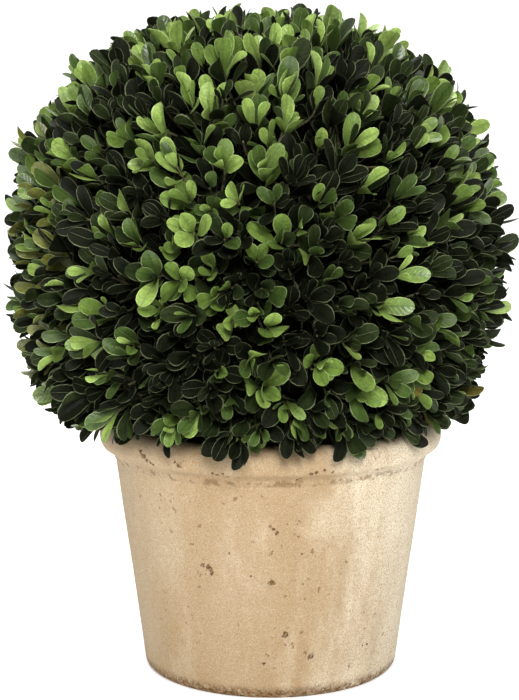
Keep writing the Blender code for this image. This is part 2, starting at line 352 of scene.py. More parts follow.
def add_tree(made, tree, values):
    """Puts a geometry tree on an object, with its inputs set by their sockets' identifiers."""
    modifier = made.modifiers.new(tree.name, "NODES")
    modifier.node_group = tree
    for item in tree.interface.items_tree:
        if item.in_out == "INPUT" and item.name != "Geometry":
            modifier[item.identifier] = values[item.name]


def given(piece, node_name):
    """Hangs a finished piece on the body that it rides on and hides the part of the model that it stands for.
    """
    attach(piece, BODY)
    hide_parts(node_name)


def level_way(angle):
    """The level unit direction at an angle about Z."""
    return Vector((math.cos(angle), math.sin(angle), 0.0))


def ring_of(shape, radius, height, segments):
    """New points at even angles on a level ring about Z."""
    angles = [math.tau * k / segments for k in range(segments)]
    return [shape.verts.new((radius * math.cos(a), radius * math.sin(a), height)) for a in angles]


def bridged(shape, rows, closed=True):
    """Smooth faces between neighbouring rows of points; a closed row's last point joins its first."""
    for low, high in zip(rows[:-1], rows[1:]):
        for k in range(len(low) if closed else len(low) - 1):
            j = (k + 1) % len(low)
            shape.faces.new((low[k], low[j], high[j], high[k])).smooth = True


# ---------------------------------------------------------------- pot


# Pits and chips on the front: distance across from the axis, height and reach
POT_MARKS = (
    # On the wall
    (-0.0345, 0.0712, 0.0017), (-0.0315, 0.0700, 0.0022), (-0.0300, 0.0675, 0.0016),
    (0.0003, 0.0640, 0.0021), (0.0070, 0.0358, 0.0022), (0.0200, 0.0230, 0.0022),
    (-0.0038, 0.0200, 0.0014), (-0.0005, 0.0940, 0.0011), (0.0010, 0.0924, 0.0012),
    (0.0026, 0.0905, 0.0015), (0.0470, 0.0243, 0.0010), (0.0495, 0.0241, 0.0009),
    (-0.0100, 0.0675, 0.0009), (-0.0210, 0.0790, 0.0009), (0.0150, 0.0790, 0.0009),
    # Along the rim's band
    (-0.0655, 0.1285, 0.0014), (-0.0640, 0.1262, 0.0019), (-0.0622, 0.1245, 0.0015),
    (-0.0604, 0.1238, 0.0012), (-0.0590, 0.1228, 0.0010), (-0.0480, 0.1262, 0.0010),
    (-0.0462, 0.1245, 0.0015), (-0.0448, 0.1238, 0.0009), (-0.0290, 0.1218, 0.0012),
    (-0.0265, 0.1212, 0.0015), (-0.0240, 0.1222, 0.0011), (-0.0215, 0.1205, 0.0009),
    (0.0125, 0.1188, 0.0012), (0.0145, 0.1196, 0.0009), (0.0195, 0.1222, 0.0012),
    (0.0222, 0.1232, 0.0014), (0.0262, 0.1240, 0.0010), (0.0300, 0.1225, 0.0009),
    (0.0530, 0.1208, 0.0014), (0.0555, 0.1212, 0.0010),
)
# Soft tan runs down the front of the wall: distance across from the axis, half width and depth of tone
POT_RUNS = ((-0.0668, 0.013, 0.10), (-0.0318, 0.013, 0.09), (0.0070, 0.009, 0.05), (0.0362, 0.011, 0.09))
# Middle of the pale patch: distance across from the axis and height
PALE_PATCH = (0.027, 0.098)
# Sandy grain from fine to coarse: scale, least noise that shows and strength
GRAINS = ((1900.0, 0.46, 0.55), (1000.0, 0.53, 0.48), (700.0, 0.64, 0.42), (420.0, 0.62, 0.34))
GRAIN_TONE = (0.28, 0.170, 0.068)
# The dark middle of a pit
PIT_TONE = (0.060, 0.026, 0.002)
# Fineness of the turned pot: length of its profile's steps and number of segments
POT_STEP, POT_SEGMENTS = 0.0016, 224


def tan_columns(across, height):
    """How tan the soft runs make a place; they fade towards the foot."""
    columns = sum(abs(across - middle).ramp(0.0, half, depth, 0.0) for middle, half, depth in POT_RUNS)
    return columns * height.ramp(0.025, 0.085, 0.25, 1.0)


def pit_depth(place, marks):
    """How deep a place lies in the nearest mark, with a ragged edge."""
    near = extreme("MINIMUM", *(distance(place, point) / reach for point, reach in marks))
    return noise_of(place, 820.0, 5.0, 0.75) - near * near * 0.17


def clay_finish(pot, marks):
    """Limewashed terracotta: runs of wash and tan, sandy grain, ragged pits with a faint painted highlight
    round them, chips along the band, and a painted sheen that pales the right side.
    """
    finish, shader, place = new_finish("limewashed terracotta", pot.limewash, 0.86, 0.2)
    across, height = axis_of(place, "X"), axis_of(place, "Z")
    runs = noise_of(place, 30.0, 5.0, 0.6, rise=0.28)
    cloud = noise_of(place, 17.0, 5.0, 0.6)
    columns = tan_columns(across, height)

    drips = noise_of(place, 75.0, 3.0, rise=0.10).ramp(0.50, 0.70, 0.0, 0.08)
    low = height.ramp(0.070, 0.0, 0.0, 0.15)
    high = height.ramp(pot.collar_height - 0.002, pot.collar_height + 0.006, 0.0, 0.10)
    worn = runs * 0.35 + cloud * 0.65 + drips + low + high + columns
    surface = mixed(worn.ramp(0.36, 0.76, 0.08, 0.80), pot.limewash, pot.clay)

    chalk_and_sheen = noise_of(place, 55.0, 6.0, 0.6, rise=0.4).ramp(0.50, 0.72, 0.0, 0.30)
    patch = distance(place, wall_point(pot, *PALE_PATCH)) + cloud.ramp(0.3, 0.7, -0.012, 0.012)
    # Painted light: the right side is mixed more and more towards the chalk tone as a painted sheen of the
    # light from the right; the left edge is mixed a little towards it as well
    strayed = across + runs.ramp(0.30, 0.70, 0.022, -0.022)
    right = strayed.ramp(0.004, 0.072) - columns * 1.5
    left = strayed.ramp(-0.040, -0.080, 0.0, 0.24)
    chalk_and_sheen = extreme("MAXIMUM", chalk_and_sheen, patch.ramp(0.002, 0.026, 0.42, 0.0), right, left)
    surface = mixed(chalk_and_sheen, surface, pot.chalk_and_sheen)

    for scale, least, share in GRAINS:
        grains = noise_of(place, scale, 2.0).ramp(least, least + 0.12, 0.0, share)
        surface = mixed(grains, surface, GRAIN_TONE)
    pale_grains = noise_of(place, 1400.0, 2.0, 0.7).ramp(0.56, 0.70, 0.0, 0.34)
    surface = mixed(pale_grains, surface, pot.chalk_and_sheen)

    near_band = abs(height - (pot.collar_height + 0.0006)).ramp(0.0005, 0.0030, 0.9, 0.0)
    flakes = noise_of(place, 150.0, 6.0, 0.75).ramp(0.50, 0.62)
    heel = height.ramp(0.0085, 0.0020) * noise_of(place, 300.0, 6.0, 0.75).ramp(0.40, 0.52)
    stain = extreme("MAXIMUM", flakes * near_band, heel)

    ragged = pit_depth(place, marks)
    # A faint pale ring round each pit: a painted highlight on the pits' rims
    surface = mixed(ragged.ramp(0.30, 0.38) * 0.12, surface, pot.chalk_and_sheen)
    spots = noise_of(place, 260.0, 4.0, 0.6).ramp(0.655, 0.69, 0.0, 0.8) * cloud.ramp(0.42, 0.55)
    hollow = extreme("MAXIMUM", ragged.ramp(0.39, 0.47), spots, stain * 0.85)
    surface = mixed(hollow * 0.80, surface, pot.grime)
    dirt = noise_of(place, 520.0, 5.0, 0.7).ramp(0.46, 0.54) * heel
    cores = extreme("MAXIMUM", ragged.ramp(0.47, 0.53), dirt)
    surface = mixed(cores * 0.85, surface, PIT_TONE)

    feed(shader.inputs["Base Color"], surface)
    feed(shader.inputs["Roughness"], worn.ramp(0.4, 0.7, 0.92, 0.80))
    relief = noise_of(place, 1500.0, 3.0) * 0.30 + noise_of(place, 180.0, 5.0) * 0.9
    bumped(shader, relief - hollow * 1.1, 0.0006, 0.8)
    return finish


def arc(centre, radius, start, end, steps):
    """Points (radius, height) along an arc, from one angle to another in degrees."""
    angles = [math.radians(start + (end - start) * i / steps) for i in range(steps + 1)]
    return [(centre[0] + radius * math.cos(a), centre[1] + radius * math.sin(a)) for a in angles]


def finely(points, step):
    """The same profile with long stretches divided into short ones."""
    made = [points[0]]
    for a, b in zip(points[:-1], points[1:]):
        pieces = max(1, round(math.dist(a, b) / step))
        made += [tuple(a[k] + (b[k] - a[k]) * i / pieces for k in (0, 1)) for i in range(1, pieces + 1)]
    return made


def turned(profile, segments):
    """A closed body of revolution about Z; its profile of (radius, height) starts and ends on the axis."""
    shape = bmesh.new()
    rings = [ring_of(shape, radius, height, segments) for radius, height in profile[1:-1]]
    start, end = (shape.verts.new((0.0, 0.0, height)) for _, height in (profile[0], profile[-1]))
    for k in range(segments):
        j = (k + 1) % segments
        shape.faces.new((start, rings[0][j], rings[0][k]))
        shape.faces.new((end, rings[-1][k], rings[-1][j]))
        for low, high in zip(rings[:-1], rings[1:]):
            shape.faces.new((low[k], low[j], high[j], high[k]))
    for face in shape.faces:
        face.smooth = True
    return shape


def wall_radius(pot, height):
    """Radius of the pot's straight outer wall at a height."""
    return pot.foot_radius + (pot.collar_radius - pot.foot_radius) * height / pot.collar_height


def pot_profile(pot):
    """From the middle of the underside, up the outside, over the rolled rim and down to the floor."""
    lean = math.degrees(math.atan2(pot.collar_radius - pot.foot_radius, pot.collar_height))
    collar = pot.collar_radius + pot.collar_step
    edge = pot.collar_height
    lip = (pot.lip_radius - pot.lip_rounding, pot.height - pot.lip_rounding)
    mouth = edge + 0.004
    wall = [(0.0, 0.0)]
    wall += arc((pot.foot_radius - pot.heel_rounding, pot.heel_rounding), pot.heel_rounding, -90, -lean, 6)
    wall += [(pot.collar_radius, edge - 0.0006), (collar, edge + 0.0001), (collar + 0.0004, edge + 0.0015)]
    wall += [(collar + 0.0013, edge + 0.0030)]
    wall += arc(lip, pot.lip_rounding, -35, 150, 18)
    wall += [(wall_radius(pot, mouth) - pot.wall, mouth), (wall_radius(pot, pot.floor) - pot.wall, pot.floor)]
    return wall + [(0.0, pot.floor)]


def weathering_tree():
    """Hand-thrown unevenness and a fine grain: each point moves along its normal by two noises."""
    sockets = {"Unevenness": "Float", "Grain": "Float", "Finish": "Material"}
    tree, start, end = new_tree("Pot weathering", sockets)
    spot = node(tree, "GeometryNodeInputPosition", "Position")
    facing = node(tree, "GeometryNodeInputNormal", "Normal")
    swells = ((13.0, Value(start["Unevenness"])), (260.0, Value(start["Grain"])))
    moved = sum((noise_of(spot, scale, 2.0, 0.5) - 0.5) * (amount * 2.0) for scale, amount in swells)
    moved = moved * axis_of(spot, "Z").ramp(0.0002, 0.006)
    shift = node(tree, "ShaderNodeVectorMath", "Vector", {0: facing, "Scale": moved}, operation="SCALE")
    inputs = {"Geometry": start["Geometry"], "Offset": shift}
    placed = node(tree, "GeometryNodeSetPosition", "Geometry", inputs)
    feed(end, made_real(tree, placed, start["Finish"]))
    return tree


def wall_point(pot, across, height):
    """The point on the front of the pot's outside at a distance across from the axis and a height."""
    profile = pot_profile(pot)
    radius = 0.0
    for low, high in zip(profile[:-1], profile[1:]):
        if low[1] < high[1] and low[1] <= height <= high[1]:
            radius = max(radius, low[0] + (high[0] - low[0]) * (height - low[1]) / (high[1] - low[1]))
    return (across, -math.sqrt(radius**2 - across**2), height)


class BOXBALL_OT_pot(bpy.types.Operator):
    """Turn the terracotta pot and weather it"""

    bl_idname = "box_ball.pot"
    bl_label = "Pot"

    def execute(self, context):
        pot = context.scene.box_ball_pot
        marks = [(wall_point(pot, x, height), reach) for x, height, reach in POT_MARKS]
        finish = clay_finish(pot, marks)
        shell = from_shape("pot_shell", turned(finely(pot_profile(pot), POT_STEP), POT_SEGMENTS))
        values = {"Unevenness": pot.unevenness, "Grain": pot.grain, "Finish": finish}
        add_tree(shell, weathering_tree(), values)
        given(baked(shell), "pot")
        return {"FINISHED"}


# ---------------------------------------------------------------- compost


# Fineness of the bed, and its gap to the pot's wall at the foot
BED_STEP, BED_SEGMENTS = 0.003, 72
WALL_GAP = 0.0010
# How far the bed keeps below the solid's top and inside its edge, which leaves room for the chips
CHIP_ROOM = 0.0012
# Size of a chip, and the least and greatest share of it along each axis
CHIP = 0.0022
CHIP_SIZES = ((0.5, 0.4, 0.5), (1.3, 0.9, 1.6))
CHIPS_PER_SQUARE_METRE = 60000.0
CHIP_SEED = 3
FULL_TURN = (6.28, 6.28, 6.28)


def compost_finish(plant):
    """Dark crumbly compost with paler bark specks."""
    finish, shader, place = new_finish("bark compost", plant.compost, 0.95, 0.2)
    crumbs = noise_of(place, 420.0, 6.0, 0.7)
    specks = noise_of(place, 160.0, 3.0).ramp(0.58, 0.66, 0.0, 0.6)
    surface = mixed(crumbs.ramp(0.3, 0.7), (0.014, 0.009, 0.006), plant.compost)
    feed(shader.inputs["Base Color"], mixed(specks, surface, (0.13, 0.075, 0.038)))
    bumped(shader, crumbs, 0.0015)
    return finish


def chip_tree():
    """Scatters chips over the upward faces of a bed, each turned and sized by chance."""
    sockets = {"Chip": "Object", "Chips per square metre": "Float", "Seed": "Int", "Finish": "Material"}
    tree, start, end = new_tree("Compost chips", sockets)

    def by_chance(low, high):
        return node(tree, "FunctionNodeRandomValue", 0, {0: low, 1: high}, data_type="FLOAT_VECTOR")

    upward = axis_of(node(tree, "GeometryNodeInputNormal", "Normal"), "Z")
    inputs = {
        "Mesh": start["Geometry"],
        "Selection": upward > 0.6,
        "Density": start["Chips per square metre"],
        "Seed": start["Seed"],
    }
    inputs = {
        "Points": node(tree, "GeometryNodeDistributePointsOnFaces", "Points", inputs),
        "Instance": node(tree, "GeometryNodeObjectInfo", "Geometry", {"Object": start["Chip"]}),
        "Rotation": by_chance((0.0, 0.0, 0.0), FULL_TURN),
        "Scale": by_chance(*CHIP_SIZES),
    }
    strewn = node(tree, "GeometryNodeInstanceOnPoints", "Instances", inputs)
    both = node(tree, "GeometryNodeJoinGeometry", "Geometry", {"Geometry": [start["Geometry"], strewn]})
    feed(end, made_real(tree, both, start["Finish"]))
    return tree


def chip_shape():
    """A small rough block of bark."""
    shape = bmesh.new()
    bmesh.ops.create_cube(shape, size=CHIP)
    for vert in shape.verts:
        stray = [noise.noise(vert.co * 900.0 + Vector((gap, 0.0, 0.0))) for gap in (0, 7.3, 14.9)]
        vert.co += 0.0006 * Vector(stray)
    return shape


def bed_shape(pot):
    """The compost inside the pot's wall, a little domed and lumpy on top."""
    low, high, edge = FILL_LOW.z, FILL_HIGH.z - CHIP_ROOM, FILL_HIGH.x
    foot = wall_radius(pot, low) - pot.wall - WALL_GAP
    profile = [(0.0, low), (foot, low), (edge - CHIP_ROOM, high - 0.003), (edge - 0.004, high - 0.0006)]
    shape = turned(finely([*profile, (0.0, high)], BED_STEP), BED_SEGMENTS)
    for vert in shape.verts:
        if vert.co.z > high - 0.004:
            vert.co.z += 0.0011 * noise.noise(vert.co * 130.0)
    return shape


class BOXBALL_OT_compost(bpy.types.Operator):
    """Fill the pot with compost and strew its top with chips"""

    bl_idname = "box_ball.compost"
    bl_label = "Compost"

    def execute(self, context):
        bed = from_shape("compost_bed", bed_shape(context.scene.box_ball_pot))
        chip = from_shape("chip", chip_shape())
        values = {"Chip": chip, "Chips per square metre": CHIPS_PER_SQUARE_METRE, "Seed": CHIP_SEED}
        add_tree(bed, chip_tree(), {**values, "Finish": compost_finish(context.scene.box_ball_plant)})
        baked(bed)
        bpy.data.objects.remove(chip)
        given(bed, "potting_fill")
        return {"FINISHED"}


# ---------------------------------------------------------------- stem, boughs and twigs


# Girths, as radii, where a limb starts and ends
BOUGH_GIRTHS = (0.0046, 0.0026)
BRANCH_GIRTHS = (0.0024, 0.0013)
TWIG_GIRTHS = (0.0011, 0.0005)
# The stem's radius at the compost and under the fork, what its root flare adds, and its fineness
STEM_RADII = (0.0090, 0.0062)
ROOT_FLARE = 0.0050
STEM_RINGS, STEM_SIDES = 56, 40
# Rings of shoots that lean out over the pot's rim: reach, height, fall and share of a full ring in thirds
RIM_RINGS = ((0.0860, 0.1478, -0.32, 3), (0.0930, 0.1518, -0.42, 3), (0.0980, 0.1470, -0.65, 2))
# Rings of shaded shoots over the pot's mouth: reach, height and number
SKIRT_RINGS = ((0.030, 0.160, 8), (0.054, 0.151, 16), (0.074, 0.158, 26))


def bark_finish(name, tone, scale):
    """Fissured bark: long cracks between paler plates."""
    finish, shader, place = new_finish(name, tone, 0.85, 0.3)
    cracks = noise_of(place, 240.0 * scale, 6.0, 0.65, rise=0.22)
    plates = noise_of(place, 90.0 * scale, 3.0).ramp(0.5, 0.7, 0.0, 0.55)
    surface = mixed(cracks.ramp(0.35, 0.62), tinted(tone, 0.35), tone)
    feed(shader.inputs["Base Color"], mixed(plates, surface, tuple(1.5 * c + 0.01 for c in tone)))
    bumped(shader, cracks, 0.0008)
    return finish


def limb_tree():
    """Gives each line of points a round body of its own girth, with closed ends."""
    tree, start, end = new_tree("Limbs", {"Sides": "Int", "Finish": "Material"})
    round_ring = {"Resolution": start["Sides"], "Radius": 1.0}
    inputs = {
        "Curve": node(tree, "GeometryNodeMeshToCurve", "Curve", {"Mesh": start["Geometry"]}),
        "Profile Curve": node(tree, "GeometryNodeCurvePrimitiveCircle", "Curve", round_ring),
        "Scale": attribute(tree, "girth", "FLOAT"),
        "Fill Caps": True,
    }
    body = node(tree, "GeometryNodeCurveToMesh", "Mesh", inputs)
    soft = node(tree, "GeometryNodeSetShadeSmooth", "Geometry", {"Geometry": body, "Shade Smooth": True})
    feed(end, made_real(tree, soft, start["Finish"]))
    return tree


def limbs(name, tree, lines, sides, finish):
    """Joined tapering limbs that a tree makes from lines of (point, girth)."""
    points = [point for line in lines for point, _ in line]
    girths = [girth for line in lines for _, girth in line]
    edges, base = [], 0
    for line in lines:
        edges += [(base + i, base + i + 1) for i in range(len(line) - 1)]
        base += len(line)
    mesh = bpy.data.meshes.new(name)
    mesh.from_pydata(points, edges, [])
    mesh.attributes.new("girth", "FLOAT", "POINT").data.foreach_set("value", girths)
    made = mesh_object(name, mesh)
    add_tree(made, tree, {"Sides": sides, "Finish": finish})
    return baked(made)


def bent(start, heading, end, arrival, girths, steps):
    """A line that leaves start along a heading and reaches end along its arrival, with a tapering girth."""
    reach = (end - start).length * 0.38
    first, last = start + heading.normalized() * reach, end - arrival.normalized() * reach
    line = []
    for i in range(steps + 1):
        t = i / steps
        point = start * (1 - t) ** 3 + first * 3 * t * (1 - t) ** 2 + last * 3 * t * t * (1 - t) + end * t**3
        line.append((point, girths[0] + (girths[1] - girths[0]) * t))
    return line


class Growth:
    """The plant worked out from its settings: boughs, branches and shoots from one fork by a seeded rule."""

    def __init__(self, plant):
        self.plant = plant
        self.chance = random.Random(plant.seed)
        self.centre = Vector((plant.offset, 0.0, plant.centre_height))
        self.fork = Vector((plant.offset, 0.0, plant.fork_height - 0.002))
        self.boughs = self.lattice(plant.bough_count, slope=58.0, share=0.40, wander=0.5)
        self.branches = self.lattice(plant.branch_count, slope=50.0, share=0.66, wander=0.35)
        self.shoots = list(self.crown_shoots()) + list(self.rim_shoots()) + list(self.inner_shoots())
        self.skirt = list(self.skirt_shoots())

    def outline(self, direction):
        """Distance from the crown's centre to its clipped outline along a unit direction."""
        power = self.plant.squareness
        level, rise = math.hypot(direction.x, direction.y), abs(direction.z)
        swell = 0.022 * noise.noise(direction * 1.9 + Vector((4.1, 0.0, 2.3)))
        swell -= 0.034 * max(direction.z, 0.0) ** 6
        return self.plant.radius * (1.0 + swell) * (level**power + rise**power) ** (-1.0 / power)

    def outward(self, direction):
        """Outward normal of the clipped outline."""
        power = self.plant.squareness - 2.0
        level = max(math.hypot(direction.x, direction.y), 1e-6) ** power
        upright = abs(direction.z) ** power
        return Vector((direction.x * level, direction.y * level, direction.z * upright)).normalized()

    def directions(self, total, slope, wander):
        """Even directions from the top of the crown down to a slope, each strayed by chance."""
        lowest = -math.sin(slope)
        golden = math.pi * (3.0 - math.sqrt(5.0))
        for i in range(total):
            z = 1.0 - (1.0 - lowest) * (i + 0.5) / total
            level = math.sqrt(1.0 - z * z)
            way = Vector((level * math.cos(golden * i), level * math.sin(golden * i), z))
            stray = Vector([wander * self.chance.uniform(-0.5, 0.5) for _ in range(3)])
            yield (way + stray).normalized()

    def stray(self, most):
        """A small vector by chance, with each part up to a most either way."""
        return Vector([self.chance.uniform(-most, most) for _ in range(3)])

    def lattice(self, total, slope, share, wander):
        """Even points at about a share of the way from the crown's centre to its outline."""
        return [
            self.centre + way * self.outline(way) * share * self.chance.uniform(0.92, 1.06)
            for way in self.directions(total, math.radians(slope), wander / math.sqrt(total))
        ]

    def crown_shoots(self):
        """(tip, heading) of the shoots that head out from the centre, to under the clipped outline."""
        plant = self.plant
        for way in self.directions(plant.shoot_count, plant.lowest_slope, wander=0.075):
            depth = plant.leaf_length * self.chance.uniform(0.50, 1.02)
            tip = self.centre + way * (self.outline(way) - depth)
            yield tip, (way + self.outward(way) + UP * 0.52 + self.stray(0.34)).normalized()

    def inner_shoots(self):
        """(tip, heading) of the older shoots that fill the crown behind the outer leaves."""
        for way in self.directions(self.plant.inner_shoot_count, self.plant.lowest_slope, wander=0.12):
            tip = self.centre + way * self.outline(way) * self.chance.uniform(0.46, 0.78)
            yield tip, (way + self.stray(0.6)).normalized()

    def rim_shoots(self):
        """(tip, heading) of rings of shoots that lean out over the pot's rim."""
        for reach, height, fall, thirds in RIM_RINGS:
            total = self.plant.rim_shoot_count * thirds // 3
            for i in range(total):
                out = level_way(math.tau * (i + self.chance.uniform(-0.45, 0.45)) / total)
                tip = out * (reach + self.chance.uniform(-0.004, 0.003))
                tip.z = height + self.chance.uniform(-0.002, 0.004)
                yield tip, (out + UP * (fall + self.chance.uniform(-0.3, 0.3))).normalized()

    def skirt_shoots(self):
        """(tip, heading) of even rings of shaded shoots that close the crown's underside."""
        for reach, height, total in SKIRT_RINGS:
            for i in range(total):
                out = level_way(math.tau * (i + 0.5) / total)
                yield out * reach + UP * height, (out + UP * 0.25).normalized()


def nearest(point, points):
    """The first of the points that is nearest to this one."""
    return min(points, key=lambda other: (other - point).length_squared)


def bough_lines(growth):
    """Boughs from the fork and branches from the boughs' tips."""
    lines = []
    for tip in growth.boughs:
        rise = (tip - growth.fork).normalized() + UP * 0.5
        lines.append(bent(growth.fork, rise, tip, tip - growth.centre, BOUGH_GIRTHS, 8))
    for tip in growth.branches:
        bough = nearest(tip, growth.boughs)
        lines.append(bent(bough, bough - growth.centre, tip, tip - growth.centre, BRANCH_GIRTHS, 6))
    return lines


def twig_lines(growth):
    """A twig from the nearest branch to the tip of every shoot."""
    lines = []
    for tip, heading in growth.shoots + growth.skirt:
        branch = nearest(tip - heading * 0.03, growth.branches)
        lines.append(bent(branch, branch - growth.centre, tip, heading, TWIG_GIRTHS, 6))
    return lines


def stem_shape(offset):
    """The stem from the compost up to the fork, leaning by an offset, fluted at its root and ridged."""
    shape = bmesh.new()
    rings = []
    for i in range(STEM_RINGS):
        t = i / (STEM_RINGS - 1)
        foot, head = STEM_RADII
        radius = foot + (head - foot) * t + ROOT_FLARE * (1.0 - t) ** 6
        lean = offset * t * t * (3 - 2 * t)
        middle = Vector((lean, 0.0, STEM_LOW.z + (STEM_HIGH.z - STEM_LOW.z) * t))
        ring = []
        for k in range(STEM_SIDES):
            angle = math.tau * k / STEM_SIDES
            out = level_way(angle)
            ridge = 0.06 * noise.fractal(Vector((out.x * 3.2, out.y * 3.2, t * 2.4)), 0.7, 2.0, 4)
            flute = 0.06 * math.cos(5 * angle + 1.3) * (1.0 - t) ** 3
            ring.append(shape.verts.new(middle + out * radius * (0.95 + ridge + flute)))
        rings.append(ring)
    bridged(shape, rings)
    shape.faces.new(list(reversed(rings[0])))
    shape.faces.new(rings[-1])
    return shape


class BOXBALL_OT_stem(bpy.types.Operator):
    """Grow the short leaning stem with its root flare and ridged bark"""

    bl_idname = "box_ball.stem"
    bl_label = "Stem"

    def execute(self, context):
        plant = context.scene.box_ball_plant
        stem = from_shape("stem_bark", stem_shape(plant.offset), bark_finish("old bark", plant.bark, 1.0))
        given(stem, "stem")
        return {"FINISHED"}


class BOXBALL_OT_boughs(bpy.types.Operator):
    """Grow the boughs, branches and twigs inside the crown"""

    bl_idname = "box_ball.boughs"
    bl_label = "Boughs and twigs"

    def execute(self, context):
        plant = context.scene.box_ball_plant
        growth, tree = Growth(plant), limb_tree()
        for name, lines, sides, finish in (
            ("boughs", bough_lines(growth), 7, bark_finish("bough bark", plant.bark, 1.6)),
            ("twigs", twig_lines(growth), 5, bark_finish("young twigs", plant.twig, 3.0)),
        ):
            given(limbs(name, tree, lines, sides, finish), "crown")
        return {"FINISHED"}


# ---------------------------------------------------------------- leaves


# A leaf's rows from foot to tip and its width there, as shares of its length and greatest width
LEAF_ROWS = (0.0, 0.10, 0.27, 0.46, 0.64, 0.79, 0.90, 0.965, 1.0)
LEAF_HALF_WIDTHS = (0.08, 0.15, 0.49, 0.81, 0.98, 0.95, 0.77, 0.48, 0.15)
# Columns of points across a leaf, with the margins outside and the midrib in the middle
LEAF_COLUMNS = (-1.0, -0.91, -0.026, 0.026, 0.91, 1.0)
MARGINS, MIDRIB = (0, 4), 2
# Cup across, curl towards the tip and notch in the tip, in leaf lengths, and whether the midrib shows
LEAF_SHAPES = (
    (0.06, 0.05, 0.015, True),
    (0.13, 0.12, 0.0, False),
    (-0.05, -0.05, 0.025, False),
    (0.09, -0.09, 0.01, True),
    (0.04, 0.18, 0.015, False),
    (0.17, -0.03, 0.0, False),
)
# Pairs down a shoot: distance from its tip, spread from the shoot in degrees and share of full size
PAIRS = (
    (0.0000, 11.0, 0.84),
    (0.0030, 19.0, 0.98),
    (0.0075, 27.0, 1.03),
    (0.0130, 34.0, 1.03),
    (0.0190, 41.0, 1.00),
    (0.0260, 48.0, 0.96),
)
# Roughness, specular and share of the margin's tone, for three shades of leaf and for all the others; the
# pale margin is partly the leaf's own edge and partly painted highlight, so the brighter shades get more of
# it
LEAF_GLOSS = {"deep": (0.7, 0.02, 0.10), "dull": (0.50, 0.06, 0.36), "dark": (0.46, 0.10, 0.42)}
USUAL_GLOSS = (0.34, 0.52, 0.62)
SHADES = ("deep", "dull", "dark", "middle", "fresh", "bright", "olive", "russet")
# Least light for each shade of the leaves that stand in the open
LIGHT_STEPS = (("bright", 0.58), ("fresh", 0.30), ("middle", 0.02), ("dark", -0.30))
# A leaf's outline from its foot to its tip: share of the half width and share of the length
OUTLINE = ((0.30, 0.16), (0.62, 0.34), (0.98, 0.64), (0.80, 0.87), (0.30, 0.98))
# Tries to find room for a leaf, and the least share of full size that it may have
TRIES, LEAST_SHARE = 5, 0.5
# Triangles of one leaf, and the most in a piece
LEAF_TRIANGLES, MOST_TRIANGLES = 80, 190000


def leaf_height(cup, curl, across, along, inward):
    """Height of a leaf above its own plane, in leaf lengths; inward is 1 on the midrib, 0 on the margin."""
    return cup * across**2 - curl * along**2 + 0.012 * inward * math.sin(math.pi * along)


def leaf_shape(cup, curl, notch, rib):
    """One leaf of unit length along Y, upper face up, with the faces of its pale margin and midrib marked."""
    shape = bmesh.new()
    pale = shape.faces.layers.int.new("pale")
    along, across = (shape.verts.layers.float.new(name) for name in ("along", "across"))
    grid = []
    for v, half in zip(LEAF_ROWS, LEAF_HALF_WIDTHS):
        row = []
        for u in LEAF_COLUMNS:
            inward = 1.0 - abs(u)
            y = v - notch * inward if v > 0.95 else v
            point = shape.verts.new((0.5 * half * u, y, leaf_height(cup, curl, half * u, v, inward)))
            point[along], point[across] = v, abs(u)
            row.append(point)
        grid.append(row)
    bridged(shape, grid, closed=False)
    for index, face in enumerate(shape.faces):
        column = index % (len(LEAF_COLUMNS) - 1)
        face[pale] = int(column in MARGINS or (rib and column == MIDRIB))
    return shape


def leaf_tree():
    """Puts a leaf of the right kind on each point, turned and sized by the point's own values."""
    sockets = {"Length": "Float", "Width": "Float", "Blade": "Material", "Margin": "Material"}
    tree, start, end = new_tree("Leaves", {"Leaf kinds": "Collection", **sockets})
    share = Value(attribute(tree, "share", "FLOAT"))
    wide, long = share * start["Width"], share * start["Length"]
    inputs = {"Collection": start["Leaf kinds"], "Separate Children": True, "Reset Children": True}
    inputs = {
        "Points": start["Geometry"],
        "Instance": node(tree, "GeometryNodeCollectionInfo", "Instances", inputs),
        "Pick Instance": True,
        "Instance Index": attribute(tree, "kind", "INT"),
        "Rotation": attribute(tree, "turn", "QUATERNION"),
        "Scale": node(tree, "ShaderNodeCombineXYZ", "Vector", {"X": wide, "Y": long, "Z": long}),
    }
    spread = node(tree, "GeometryNodeInstanceOnPoints", "Instances", inputs)
    inputs = {
        "Geometry": made_real(tree, spread, start["Blade"]),
        "Selection": Value(attribute(tree, "pale", "INT")) > 0.5,
        "Material": start["Margin"],
    }
    feed(end, node(tree, "GeometryNodeSetMaterial", "Geometry", inputs))
    return tree


def leaf_finish(name, tone, gloss, specular):
    """Satin leaf: mottled, with painted shade towards its foot and along its fold, where neighbours and the
    crease would shade it, and faint side veins.
    """
    finish, shader, place = new_finish(name, tone, gloss, specular)
    along, across = (
        Value(node(finish.node_tree, "ShaderNodeAttribute", "Fac", attribute_name=label))
        for label in ("along", "across")
    )
    mottle = noise_of(place, 130.0, 3.0) + noise_of(place, 750.0, 3.0, 0.7)
    surface = mixed(mottle.ramp(0.72, 1.30), tinted(tone, 0.72), tinted(tone, 1.36))
    # Painted shade: darker towards the foot, where neighbouring leaves would shade it, and along the fold by
    # the midrib
    foot, fold = along.ramp(0.0, 0.66, 0.74, 0.0), across.ramp(0.0, 0.34, 0.42, 0.0)
    surface = mixed(extreme("MAXIMUM", foot, fold), surface, tinted(tone, 0.34))
    feed(shader.inputs["Base Color"], surface)
    veins = (along * 52.0 - across * 10.0).step("SINE") * 0.25
    bumped(shader, veins + noise_of(place, 1400.0, 2.0), 0.00025, 0.5)
    return finish


def clear_of_pot(pot, plant, points, lowest):
    """Whether these points of a leaf keep off the pot and above the height where leaf tips end."""
    for point in points:
        if point.z < lowest:
            return False
        near = math.hypot(point.x, point.y) < pot.lip_radius + plant.pot_gap
        if near and point.z < pot.height + plant.pot_gap:
            return False
    return True


